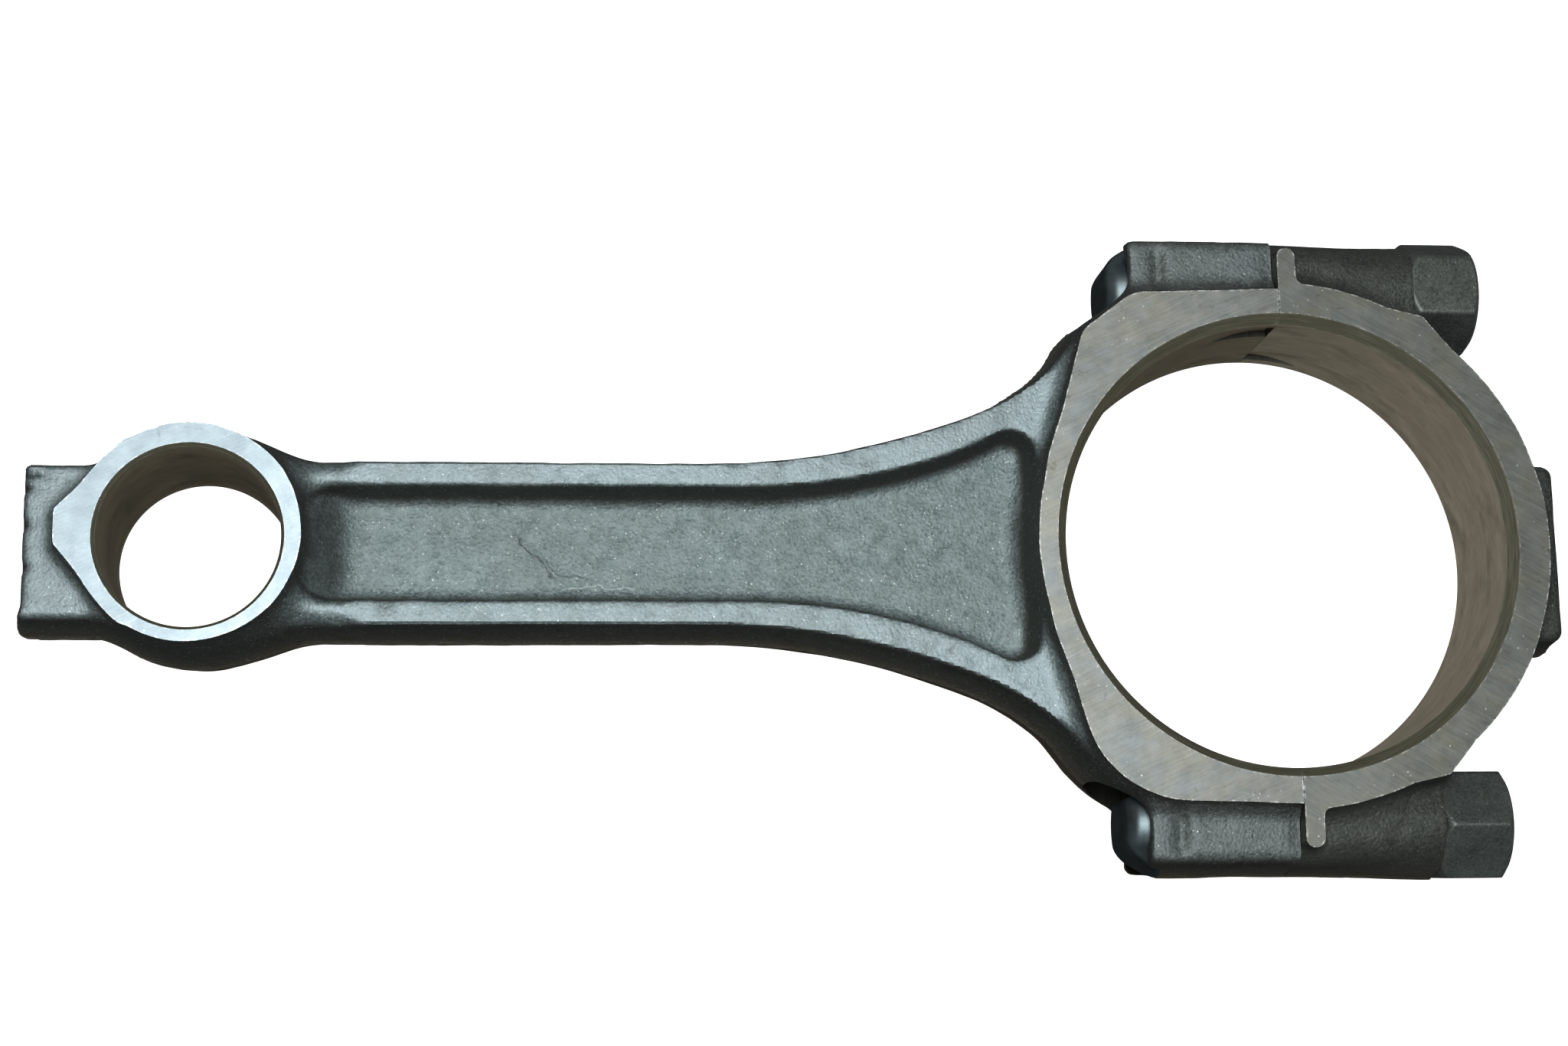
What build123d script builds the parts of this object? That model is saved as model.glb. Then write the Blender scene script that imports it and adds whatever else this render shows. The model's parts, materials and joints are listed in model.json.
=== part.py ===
"""Forged steel connecting rod with a bolted big-end cap.

Frame: millimetres, origin at the centre of the big-end bore, half way through its width.
+X runs from the small end towards the cap, along the bolts. +Z runs along both bores.
The rod lies on its side, with the forging's die parting plane at z = 0.
"""
from build123d import *
import math
import os

os.makedirs("parts", exist_ok=True)

# ---- Driving dimensions, in millimetres ----
inch = 25.4

centre_distance = 5.700 * inch
big_bore_radius = 2.3745 * inch / 2
pin_bore_radius = 0.927 * inch / 2
big_end_width = 23.3
small_end_width = 25.6
big_bore_chamfer = 1.6
pin_bore_chamfer = 0.55

draft = 7.0                     # forging draft, degrees
web_thickness = 5.4
beam_thickness = 17.4
beam_half_depth = 10.8          # over the flange tops, as the next three places are
flange_width = 3.2              # across the flat top of one flange
pocket_knee = (-43.1, 13.0)     # end of the pocket's flare
pocket_corner = (-36.5, 16.2)
pocket_end_half_width = 12.0    # under the big end's ring
pocket_radius = 2.6             # fillet between the web and its flanges
beam_straight_end = -78.0       # where the beam starts to flare into the big end
flare_knee = (-41.6, 17.8)      # between the gentle and the tight part of the flare
shoulder = (-27.6, 27.7)        # end of the flare, beside the bolt head
notch_wall_y = 31.2             # wall of the milled notch that the bolt head sits in
notch_half_height = 9.3         # the machined side face runs on unbroken over the notch
notch_length = 12.0             # from the bolt head's seat towards the small end

rod_ring_radius = 34.0          # machined side face, beam side
cap_ring_radius = 35.7          # machined side face, cap side
boss_face_y = 34.8              # machined side face, beside the bolt bosses

bolt_axis_y = 36.9
bolt_seat_x = -17.6
nut_seat_x = 20.2
nut_seat_radius = 8.8
boss_side_y = 43.8              # at the die parting plane
boss_height = 9.0               # forged top of a boss above the parting plane
rod_boss_edge_radius = 2.5
cap_boss_edge_radius = 5.0
groove_x = (-15.8, -14.4)       # shallow forged groove across each rod boss
groove_depth = 0.6

thread_radius = 3 / 8 * inch / 2
knurl_radius = thread_radius + 0.04
knurl_span = (-16.0, -5.0)
cap_bolt_hole_radius = thread_radius + 0.2
thread_clearance = 0.08
bolt_end_x = 29.8
bolt_end_chamfer = 0.8
head_radius = 7.0
head_height = 4.8
head_flat = 3.9                 # from the bolt's axis to the flat that stops it turning
head_bevel_start = 2.2          # from the bolt's axis to the bevel, on the head's end
head_bevel_rise = 5.0

nut_across_flats = 9 / 16 * inch
nut_height = 9.8
nut_chamfer = (1.2, 0.9)        # along the axis, and across the corners
nut_corner_angle = {"upper": 27.9, "lower": 5.0}    # of one corner, in degrees from +Z towards -Y

rib_width = 2.5                 # machined land on the cap, beside the joint face
rib_tip_y = 41.1
rib_tip_radius = 1.2

small_ring_radius = 14.6
nose_x = -17.4                  # from the pin bore's axis
nose_half_width = 2.4
small_pad_end = -22.2           # from the pin bore's axis, at the pad's top
small_pad_half_width = 10.1
small_pad_height = 8.8
cap_pad_end = 38.4
cap_pad_half_width = 12.0
cap_pad_offset = -0.8
cap_pad_height = 8.0
pad_corner_radius = 1.5
pad_overlap = 1.0               # how far a pad starts inside its bore's wall

tang_cutter_radius = 17.0
tang_depth = 1.5
tang_width = 4.6
tang_z = {"rod": 6.6, "cap": -5.9}

overrun = 4.0                   # how far a blank or a cutter runs past a machined face
slope = math.tan(math.radians(draft))
half_beam = beam_thickness / 2
joint_face = Plane.YZ


# ---- Outlines ----
def beam_outline():
    """Beam and shoulders at flange level, from the small end to past the joint."""
    start = (-centre_distance, beam_half_depth)
    with BuildSketch(mode=Mode.PRIVATE) as outline:
        with BuildLine():
            straight = Line(start, (beam_straight_end, beam_half_depth))
            gentle = TangentArc(straight @ 1, flare_knee, tangent=(1, 0))
            tight = TangentArc(gentle @ 1, shoulder, tangent=gentle % 1)
            Polyline(
                tight @ 1,
                (shoulder[0] + 3, boss_face_y),
                (overrun, boss_face_y),
                (overrun, 0),
                (start[0], 0),
                start,
            )
        make_face()
        mirror(about=Plane.XZ)
    return outline.sketch


def pocket_outline():
    """Web recess at flange level. Its ends run under the two machined rings."""
    inner = beam_half_depth - flange_width
    with BuildSketch(mode=Mode.PRIVATE) as outline:
        with BuildLine():
            straight = Line((-centre_distance, inner), (beam_straight_end + 5, inner))
            flare = TangentArc(straight @ 1, pocket_knee, tangent=(1, 0))
            Polyline(
                flare @ 1,
                pocket_corner,
                (-big_bore_radius, pocket_end_half_width),
                (-big_bore_radius, 0),
                (-centre_distance, 0),
                straight @ 0,
            )
        make_face()
        mirror(about=Plane.XZ)
    return outline.sketch


def rod_face_outline():
    """Machined side face of the rod's half of the big end."""
    with BuildSketch(mode=Mode.PRIVATE) as outline:
        with BuildLine():
            Polyline(
                (-31.9, 11.7),
                (-27.2, 28.8),
                (-20.2, 34.2),
                (0, boss_face_y),
                (overrun, boss_face_y),
                (overrun, 0),
                (-31.9, 0),
                close=True,
            )
        make_face()
        corners = outline.vertices().filter_by(lambda v: -30 < v.X < -15)
        fillet(corners, radius=4)
        mirror(about=Plane.XZ)
        Circle(rod_ring_radius)
    return outline.sketch


def cap_face_outline():
    """Machined side face of the cap, without its two ribs."""
    with BuildSketch(mode=Mode.PRIVATE) as outline:
        Circle(cap_ring_radius)
        with BuildLine():
            Polyline(
                (-overrun, boss_face_y),
                (3, boss_face_y - 0.3),
                (13, 32.9),
                (20, 31.2),
                (24, 26.4),
                (24, 0),
                (-overrun, 0),
                close=True,
            )
        make_face()
        mirror(about=Plane.XZ)
    return outline.sketch


def small_end_outline():
    """Machined ring and nose of the small end, about the pin bore's axis."""
    touch = math.radians(128)
    touch_point = (small_ring_radius * math.cos(touch), small_ring_radius * math.sin(touch))
    with BuildSketch(mode=Mode.PRIVATE) as outline:
        Circle(small_ring_radius)
        with BuildLine():
            Polyline(
                touch_point,
                (nose_x, nose_half_width),
                (nose_x, -nose_half_width),
                (touch_point[0], -touch_point[1]),
                close=True,
            )
        make_face()
    return outline.sketch


def pad_outline(x_low, x_high, centre_y, half_width, rounded_x):
    """Top of a balance pad, with rounded corners at its free end."""
    with BuildSketch(mode=Mode.PRIVATE) as outline:
        with Locations(((x_low + x_high) / 2, centre_y)):
            Rectangle(x_high - x_low, 2 * half_width)
        free_corners = outline.vertices().filter_by(lambda v: abs(v.X - rounded_x) < 0.1)
        fillet(free_corners, radius=pad_corner_radius)
    return outline.sketch


def boss_outline(edge_radius):
    """Section across one bolt boss, in the plane square to the bolts."""
    inner_y = boss_face_y - overrun
    with BuildSketch(mode=Mode.PRIVATE) as outline:
        with BuildLine():
            Polyline(
                (inner_y, 0),
                (boss_side_y, 0),
                (boss_side_y - boss_height * slope, boss_height),
                (inner_y, boss_height),
                close=True,
            )
        make_face()
        edge = outline.vertices().filter_by(lambda v: v.X > boss_face_y and v.Y > 1)
        fillet(edge, radius=edge_radius)
        mirror(about=Plane.XZ)
        mirror(about=Plane.YZ)
    return outline.sketch


def bore_section(radius, width, chamfer_size):
    """Half section of a through bore with a 45 degree chamfer at both mouths."""
    half = width / 2
    mouth = chamfer_size + overrun
    with BuildSketch(mode=Mode.PRIVATE) as section:
        with BuildLine():
            Polyline(
                (0, -half - overrun),
                (radius + mouth, -half - overrun),
                (radius, -half + chamfer_size),
                (radius, half - chamfer_size),
                (radius + mouth, half + overrun),
                (0, half + overrun),
                close=True,
            )
        make_face()
    return section.sketch


def bolt_circle(side, radius):
    """Circle about one bolt's axis, in a sketch square to the bolts; side is +1 or -1."""
    with BuildSketch(mode=Mode.PRIVATE) as outline:
        with Locations((side * bolt_axis_y, 0)):
            Circle(radius)
    return outline.sketch


# ---- Rod body: small end, I-beam and upper half of the big end ----
with BuildPart() as rod_body:
    # drafted beam blank, then the web recess on each side
    with BuildSketch(Plane.XY.offset(half_beam)):
        add(beam_outline())
    extrude(amount=-half_beam, taper=-draft)
    with BuildSketch(Plane.XY.offset(half_beam)):
        add(pocket_outline())
    extrude(amount=web_thickness / 2 - half_beam, taper=draft, mode=Mode.SUBTRACT)
    web_edges = rod_body.edges().filter_by_position(Axis.Z, web_thickness / 2, web_thickness / 2)
    fillet(web_edges.filter_by(lambda e: abs(e.center().Y) > 2), radius=pocket_radius)

    # machined rings, which stand above the beam and widen with draft
    with BuildSketch(Plane.XY.offset(big_end_width / 2)):
        add(rod_face_outline())
    extrude(amount=-big_end_width / 2, taper=-draft)
    with BuildSketch(Plane.XY.offset(small_end_width / 2)):
        with Locations((-centre_distance, 0)):
            add(small_end_outline())
    extrude(amount=-small_end_width / 2, taper=-draft)

    # balance pad beyond the small end
    with BuildSketch(Plane.XY.offset(small_pad_height)):
        pad_end_x = small_pad_end - centre_distance
        pad_root_x = -centre_distance - pin_bore_radius - pad_overlap
        add(pad_outline(pad_end_x, pad_root_x, 0, small_pad_half_width, pad_end_x))
    extrude(amount=-small_pad_height, taper=-draft)
    mirror(about=Plane.XY)

    # bolt bosses
    with BuildSketch(Plane.YZ.offset(bolt_seat_x - overrun)):
        add(boss_outline(rod_boss_edge_radius))
    extrude(amount=overrun - bolt_seat_x + overrun)
    groove_y = (boss_face_y + 1, boss_side_y + overrun)
    for side in (1, -1):
        with BuildSketch(Plane.XY.offset(boss_height - groove_depth)):
            with Locations((sum(groove_x) / 2, side * sum(groove_y) / 2)):
                Rectangle(groove_x[1] - groove_x[0], groove_y[1] - groove_y[0])
        extrude(amount=overrun, mode=Mode.SUBTRACT)
        with BuildSketch(Plane.XY.offset(groove_depth - boss_height)):
            with Locations((sum(groove_x) / 2, side * sum(groove_y) / 2)):
                Rectangle(groove_x[1] - groove_x[0], groove_y[1] - groove_y[0])
        extrude(amount=-overrun, mode=Mode.SUBTRACT)

    # machining: joint face, bores, bolt holes, bolt seats and the tang notch
    split(bisect_by=joint_face, keep=Keep.BOTTOM)
    with BuildSketch(Plane.XZ):
        add(bore_section(big_bore_radius, big_end_width, big_bore_chamfer))
    revolve(axis=Axis.Z, mode=Mode.SUBTRACT)
    with BuildSketch(Plane.XZ.shift_origin((-centre_distance, 0, 0))):
        add(bore_section(pin_bore_radius, small_end_width, pin_bore_chamfer))
    pin_axis = Axis((-centre_distance, 0, 0), (0, 0, 1))
    revolve(axis=pin_axis, mode=Mode.SUBTRACT)
    for side in (1, -1):
        with BuildSketch(joint_face):
            add(bolt_circle(side, thread_radius))
        extrude(amount=-centre_distance / 2, mode=Mode.SUBTRACT)
        notch_depth = boss_side_y + overrun - notch_wall_y
        with BuildSketch(Plane.YZ.offset(bolt_seat_x)):
            with Locations((side * (notch_wall_y + notch_depth / 2), 0)):
                Rectangle(notch_depth, 2 * notch_half_height)
        extrude(amount=-notch_length, mode=Mode.SUBTRACT)
    with BuildSketch(Plane.XY.offset(tang_z["rod"] - tang_width / 2)):
        with Locations((0, big_bore_radius + tang_depth - tang_cutter_radius)):
            Circle(tang_cutter_radius)
    extrude(amount=tang_width, mode=Mode.SUBTRACT)

rod_body.part.label = "rod_body"
export_step(rod_body.part, "parts/rod_body.step")


# ---- Cap: lower half of the big end ----
with BuildPart() as rod_cap:
    # drafted ring and its balance pad
    with BuildSketch(Plane.XY.offset(big_end_width / 2)):
        add(cap_face_outline())
    extrude(amount=-big_end_width / 2, taper=-draft)
    with BuildSketch(Plane.XY.offset(cap_pad_height)):
        pad_root_x = big_bore_radius + pad_overlap
        add(pad_outline(pad_root_x, cap_pad_end, cap_pad_offset, cap_pad_half_width, cap_pad_end))
    extrude(amount=-cap_pad_height, taper=-draft)
    mirror(about=Plane.XY)

    # bolt bosses, and the rib beside the joint face
    with BuildSketch(Plane.YZ.offset(-overrun)):
        add(boss_outline(cap_boss_edge_radius))
    extrude(amount=overrun + nut_seat_x)
    with BuildSketch(Plane.XY):
        with Locations((rib_width / 2, 0)):
            RectangleRounded(rib_width, 2 * rib_tip_y, rib_tip_radius)
    extrude(amount=big_end_width / 2, both=True)

    # machining: joint face, bore, bolt holes, nut seats and the tang notch
    split(bisect_by=joint_face, keep=Keep.TOP)
    with BuildSketch(Plane.XZ):
        add(bore_section(big_bore_radius, big_end_width, big_bore_chamfer))
    revolve(axis=Axis.Z, mode=Mode.SUBTRACT)
    for side in (1, -1):
        with BuildSketch(joint_face):
            add(bolt_circle(side, cap_bolt_hole_radius))
        extrude(amount=centre_distance, mode=Mode.SUBTRACT)
        with BuildSketch(Plane.YZ.offset(nut_seat_x)):
            add(bolt_circle(side, nut_seat_radius))
        extrude(amount=centre_distance, mode=Mode.SUBTRACT)
    with BuildSketch(Plane.XY.offset(tang_z["cap"] - tang_width / 2)):
        with Locations((0, big_bore_radius + tang_depth - tang_cutter_radius)):
            Circle(tang_cutter_radius)
    extrude(amount=tang_width, mode=Mode.SUBTRACT)

rod_cap.part.label = "rod_cap"
export_step(rod_cap.part, "parts/rod_cap.step")


# ---- Bolts and nuts, one pair on each side of the bore ----
def bolt_section():
    """Half section along a bolt: x along its axis, y the radius."""
    head_end_x = bolt_seat_x - head_height
    thread_radius_cut = thread_radius - thread_clearance / 2
    with BuildSketch(mode=Mode.PRIVATE) as section:
        with BuildLine():
            Polyline(
                (head_end_x, 0),
                (head_end_x, head_radius),
                (bolt_seat_x, head_radius),
                (bolt_seat_x, thread_radius_cut),
                (knurl_span[0], thread_radius_cut),
                (knurl_span[0], knurl_radius),
                (knurl_span[1], knurl_radius),
                (knurl_span[1], thread_radius_cut),
                (bolt_end_x - bolt_end_chamfer, thread_radius_cut),
                (bolt_end_x, thread_radius_cut - bolt_end_chamfer),
                (bolt_end_x, 0),
                close=True,
            )
        make_face()
    return section.sketch


def nut_section():
    """Half section of the round blank that bounds a nut: x along its axis, y the radius."""
    corner_radius = nut_across_flats / math.sqrt(3)
    chamfer_run, chamfer_drop = nut_chamfer
    bore = thread_radius + thread_clearance / 2
    nut_end_x = nut_seat_x + nut_height
    with BuildSketch(mode=Mode.PRIVATE) as section:
        with BuildLine():
            Polyline(
                (nut_seat_x, bore),
                (nut_seat_x, corner_radius - chamfer_drop),
                (nut_seat_x + chamfer_run, corner_radius),
                (nut_end_x - chamfer_run, corner_radius),
                (nut_end_x, corner_radius - chamfer_drop),
                (nut_end_x, bore),
                close=True,
            )
        make_face()
    return section.sketch


for side_name, side in (("upper", 1), ("lower", -1)):
    bolt_axis = Axis((0, side * bolt_axis_y, 0), (1, 0, 0))
    axis_plane = Plane((0, side * bolt_axis_y, 0), x_dir=(1, 0, 0), z_dir=(0, 0, 1))

    with BuildPart() as bolt:
        with BuildSketch(axis_plane):
            add(bolt_section())
        revolve(axis=bolt_axis)
        # flat against the notch's wall, and the bevel on the outer side of the head
        head_end_x = bolt_seat_x - head_height
        bevel_top = side * (head_bevel_start + head_bevel_rise)
        far = side * 2 * head_radius
        before_head = head_end_x - overrun
        with BuildSketch(axis_plane):
            with BuildLine():
                Polyline(
                    (before_head, -side * head_flat),
                    (bolt_seat_x, -side * head_flat),
                    (bolt_seat_x, -far),
                    (before_head, -far),
                    close=True,
                )
            make_face()
            with BuildLine():
                Polyline(
                    (head_end_x, side * head_bevel_start),
                    (bolt_seat_x, bevel_top),
                    (bolt_seat_x, far),
                    (before_head, far),
                    (before_head, side * head_bevel_start),
                    close=True,
                )
            make_face()
        extrude(amount=2 * head_radius, both=True, mode=Mode.SUBTRACT)
    bolt.part.label = f"bolt_{side_name}"
    export_step(bolt.part, f"parts/bolt_{side_name}.step")

    with BuildPart() as nut:
        with BuildSketch(axis_plane):
            add(nut_section())
        revolve(axis=bolt_axis)
        seat_plane = Plane((nut_seat_x, side * bolt_axis_y, 0), x_dir=(0, 0, 1), z_dir=(1, 0, 0))
        with BuildSketch(seat_plane):
            RegularPolygon(
                nut_across_flats / 2,
                side_count=6,
                major_radius=False,
                rotation=nut_corner_angle[side_name],
            )
        extrude(amount=nut_height, mode=Mode.INTERSECT)
    nut.part.label = f"nut_{side_name}"
    export_step(nut.part, f"parts/nut_{side_name}.step")
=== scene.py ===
import json
import math

import bmesh
import bpy
import numpy as np
from mathutils import Matrix, Vector

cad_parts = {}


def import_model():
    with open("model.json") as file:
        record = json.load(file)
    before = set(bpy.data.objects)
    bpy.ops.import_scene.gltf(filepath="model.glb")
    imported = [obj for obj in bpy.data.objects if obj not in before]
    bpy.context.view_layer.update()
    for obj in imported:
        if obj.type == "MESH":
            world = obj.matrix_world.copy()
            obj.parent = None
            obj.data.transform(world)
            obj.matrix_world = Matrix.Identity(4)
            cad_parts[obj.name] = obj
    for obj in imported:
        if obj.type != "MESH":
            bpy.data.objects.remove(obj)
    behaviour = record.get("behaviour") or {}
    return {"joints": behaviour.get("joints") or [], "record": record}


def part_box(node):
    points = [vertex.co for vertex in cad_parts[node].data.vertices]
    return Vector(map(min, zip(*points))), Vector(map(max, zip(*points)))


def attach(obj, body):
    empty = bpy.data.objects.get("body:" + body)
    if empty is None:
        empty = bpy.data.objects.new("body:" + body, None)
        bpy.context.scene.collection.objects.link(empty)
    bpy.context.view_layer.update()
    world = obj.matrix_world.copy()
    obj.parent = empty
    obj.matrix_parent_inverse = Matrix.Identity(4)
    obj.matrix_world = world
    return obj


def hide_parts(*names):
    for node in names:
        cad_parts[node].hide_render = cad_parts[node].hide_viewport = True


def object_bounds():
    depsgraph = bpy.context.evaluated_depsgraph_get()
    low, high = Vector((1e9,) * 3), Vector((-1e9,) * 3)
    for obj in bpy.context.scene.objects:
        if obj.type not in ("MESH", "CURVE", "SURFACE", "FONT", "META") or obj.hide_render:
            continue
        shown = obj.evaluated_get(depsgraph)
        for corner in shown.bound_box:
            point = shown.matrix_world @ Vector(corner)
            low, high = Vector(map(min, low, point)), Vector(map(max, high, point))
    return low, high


# Looks of a forged steel connecting rod, made the way the real one is made: two rough forgings
# with draft, fillets and a die parting line, then machined faces cut into them.
# Shapes are worked out in millimetres and become meshes in metres, in the frame of the CAD.

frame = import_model()
cad_low, cad_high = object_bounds()

MM = 0.001
BIG = 200.0                     # longer than any forging, for cutters


# ---- Sizes, from the frame where it has them, in millimetres ----
def box_mm(node):
    low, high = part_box(node)
    return np.array(low) / MM, np.array(high) / MM


mounts = {mount["name"]: mount for mount in frame["record"]["mounts"]}
pin_x = mounts["small_end_bore"]["pos_m"][0] / MM
pin_radius = mounts["small_end_bore"]["dims"]["r_mm"]
bore_radius = mounts["big_end_bore"]["dims"]["r_mm"]
big_face_z = mounts["big_end_side_front"]["pos_m"][2] / MM
small_face_z = mounts["small_end_side_front"]["pos_m"][2] / MM
big_chamfer = big_face_z - mounts["big_end_bore"]["dims"]["length_mm"] / 2
small_chamfer = small_face_z - mounts["small_end_bore"]["dims"]["length_mm"] / 2
rod_low = box_mm("rod_body")[0]
cap_high = box_mm("rod_cap")[1]
bolt_low, bolt_high = box_mm("bolt_upper")
nut_low, nut_high = box_mm("nut_upper")
joints = {joint["name"]: joint for joint in frame["joints"]}
bolt_y = joints["upper_nut_spin"]["pos_m"][1] / MM

draft = math.radians(7.0)
fillets = {"small end": 4.8, "pad": 2.0, "big end": 2.8, "bosses": 2.6, "cap pad": 1.6, "rib": 1.1}
beam_top = 8.7                  # flange tops above the parting plane
half_beam = 10.8                # half the beam's depth, over the flange tops
flange_width = 3.2
half_web = 2.7
beam_straight_end = -78.0
flare_knee = (-41.6, 17.8)
shoulder = (-27.6, 27.7)
rod_ring_radius = 34.0
cap_ring_radius = 35.7
boss_face_y = 34.8
boss_side_y = 43.5
boss_height = 9.0
small_ring_radius = 14.3
small_ring_rise = 0.6           # the forged ring sits this far towards +Y of its bore
nose_x = -16.9
bolt_seat_radius = 8.2          # of the cutter that faces the bolt head's seat
small_pad_half_width = 10.1
small_pad_height = 8.8
cap_pad_half_width = 12.0
cap_pad_offset = -0.8
cap_pad_height = 8.0
rib_width = 2.5
rib_tip_y = 40.7
tang_radius = 17.0
tang_depth = 0.9
tang_width = 4.6
tang_z = {"rod": 6.6, "cap": -5.9}
die_mismatch = 0.12             # the back die sits this much towards -Y
flash_height = 0.25             # what is left of the trimmed flash on the parting line
flash_width = 0.45
allowance = 0.9                 # forged stock that machining takes off
joint_gap = 0.03                # from the joint plane to each half's face
pocket_round = 3.5              # of the pocket's corners, seen from the front
pocket_floor_round = 1.7
floor_rise = 3.6                # of the pocket's floor where it runs into the small end
floor_rise_end = 17.8           # from the pin's centre
soft_edges_end = 20.5           # from the pin's centre: the beam's edges are rounder up to here
small_pad_margin = 1.36         # from the CAD's end to the pad's top, for its draft and flash
small_pad_step = 0.55           # the pad is this much longer below small_pad_step_y
small_pad_step_y = -8.5
boss_top_y = 41.2               # outer edge of the bosses' flat tops
raised_end = -1.2               # of the raised panel on the bosses
cap_barrel_radius = 7.1
cap_boss_round = 3.6

seat_x = -17.6                  # of the bolt heads
boss_groove_x = -15.9
nut_seat_x = nut_low[0]
nut_seat_radius = 8.8
chamfer_slope = 0.82            # of the bores' chamfers, across over along
thread_radius = 3 / 8 * 25.4 / 2
thread_pitch = 25.4 / 24
hole_clearance = 0.2
box_half_height = 45.6          # of the box that each blank is sampled in


# ---- Outlines in the plane of the rod ----
def tangent_arc(start, direction, end, steps=20):
    """Points after start on the arc that leaves it in a direction and ends at end, and its last direction."""
    start, end = np.array(start, float), np.array(end, float)
    direction = np.array(direction, float) / np.linalg.norm(direction)
    chord = end - start
    normal = np.array((-direction[1], direction[0]))
    half_turn = math.atan2(chord @ normal, chord @ direction)
    radius = np.linalg.norm(chord) / (2 * math.sin(half_turn))
    turns = 2 * half_turn * np.arange(1, steps + 1) / steps
    points = [start + radius * (math.sin(t) * direction + (1 - math.cos(t)) * normal) for t in turns]
    turn = turns[-1]
    return points, math.cos(turn) * direction + math.sin(turn) * normal


def mirrored(half):
    """Closed outline from its upper half, which runs from one end of the x axis to the other."""
    return [tuple(p) for p in half] + [(p[0], -p[1]) for p in reversed(half)]


def outline_distance(outline, x, y):
    """Signed distance to a closed outline, negative inside."""
    points = np.asarray(outline, np.float32)
    shape = np.broadcast(x, y).shape
    nearest = np.full(shape, 1e9, np.float32)
    inside = np.zeros(shape, bool)
    for (ax, ay), (bx, by) in zip(points, np.roll(points, -1, 0)):
        ex, ey = bx - ax, by - ay
        wx, wy = x - ax, y - ay
        along = np.clip((wx * ex + wy * ey) / (ex * ex + ey * ey), 0, 1)
        nearest = np.minimum(nearest, (wx - ex * along) ** 2 + (wy - ey * along) ** 2)
        if ay != by:
            inside ^= ((ay > y) != (by > y)) & (x < ex * (y - ay) / ey + ax)
    distance = np.sqrt(nearest)
    return np.where(inside, -distance, distance)


def inset(outline, amount):
    """The outline with every side moved in, so that a distance less this amount has rounded corners."""
    points = np.array(outline, float)
    along = np.roll(points, -1, 0) - points
    along /= np.linalg.norm(along, axis=1)[:, None]
    inward = np.stack([along[:, 1], -along[:, 0]], 1)
    result = []
    for n in range(len(points)):
        sides = np.array([inward[n - 1], inward[n]])
        result.append(tuple(points[n] + np.linalg.solve(sides, np.array([amount, amount]))))
    return result


beam_start = (pin_x, half_beam)
gentle, heading = tangent_arc((beam_straight_end, half_beam), (1, 0), flare_knee)
tight, heading = tangent_arc(flare_knee, heading, shoulder)
beam_outline = mirrored(
    [beam_start, (beam_straight_end, half_beam)] + gentle + tight
    + [(-23.8, 30.6), (-18.0, 33.8), (allowance, boss_face_y)]
)

pocket_half = half_beam - flange_width
pocket_flare, heading = tangent_arc((beam_straight_end + 5, pocket_half), (1, 0), (-43.1, pocket_half + 5.4))
pocket_outline = inset(mirrored(
    [(pin_x, pocket_half), (beam_straight_end + 5, pocket_half)] + pocket_flare
    + [(-34.6, 17.0), (-bore_radius - 2.2, 8.0)]
), pocket_round)

# the front's outline: its +Y corner is crisper than its -Y corner
upper_round, lower_round = 5.0, 14.0
upper_shelf = inset(mirrored([(-31.9, 11.7), (-27.2, 28.8), (-20.2, 34.2), (20, 35.3)]), upper_round)
lower_shelf = inset(mirrored([(-31.9, 11.7), (-25.7, 34.3), (20, 35.3)]), lower_round)
cap_shelf = mirrored([(-allowance, boss_face_y), (3, boss_face_y - 0.3), (13, 32.9), (20, 31.2), (24, 26.4)])

nose_round = 1.2
touch = math.radians(127)
touch_x = pin_x + (small_ring_radius - nose_round) * math.cos(touch)
touch_y = (small_ring_radius - nose_round) * math.sin(touch)
nose_outline = [
    (touch_x, small_ring_rise + touch_y),
    (pin_x + nose_x + nose_round, 2.9),
    (pin_x + nose_x + nose_round, -0.6),
    (touch_x, small_ring_rise - touch_y),
]


# ---- Solids as signed distances: negative inside, smooth where a forging is smooth ----
def round_and(a, b, radius):
    """Both solids, with a round of this radius on the edge between them."""
    outer = np.hypot(np.maximum(a + radius, 0), np.maximum(b + radius, 0))
    return np.minimum(np.maximum(a, b), -radius) + outer


def round_or(a, b, radius):
    """Either solid, with a fillet of this radius in the corner between them."""
    inner = np.hypot(np.maximum(radius - a, 0), np.maximum(radius - b, 0))
    return np.maximum(np.minimum(a, b), radius) - inner


def drafted(distance, z, top, radius, stock=0.0):
    """Outline at height top, with draft on its sides, a round on its top edge and stock above it."""
    depth = np.abs(z)
    side = (distance - (top - depth) * math.tan(draft)) * math.cos(draft)
    return round_and(side, depth - top - stock, radius)


def block(x, y, z, centre, half, radius):
    """Box with rounded edges."""
    qx = np.abs(x - centre[0]) - half[0] + radius
    qy = np.abs(y - centre[1]) - half[1] + radius
    qz = np.abs(z - centre[2]) - half[2] + radius
    outside = np.sqrt(np.maximum(qx, 0) ** 2 + np.maximum(qy, 0) ** 2 + np.maximum(qz, 0) ** 2)
    return outside + np.minimum(np.maximum(np.maximum(qx, qy), qz), 0) - radius


def boss(y, z, edge_radius):
    """Drafted boss that runs along the bolts, on both sides of the bore."""
    depth = np.abs(z)
    wall = (np.abs(y) - boss_side_y + depth * math.tan(draft)) * math.cos(draft)
    return round_and(wall, depth - boss_height, edge_radius)


def flash(z):
    """Ridge along the parting line."""
    return flash_height * np.exp(-(z / flash_width) ** 2)


def back_die(y, z):
    """The back half of a forging lies a little off the front half."""
    return y + die_mismatch / 2 * (1 - np.tanh(z / 0.3))


def before(value, place, width):
    """1 before the place and 0 after it, with a soft change of about this width."""
    return 0.5 - 0.5 * np.tanh((value - place) / width)


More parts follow.
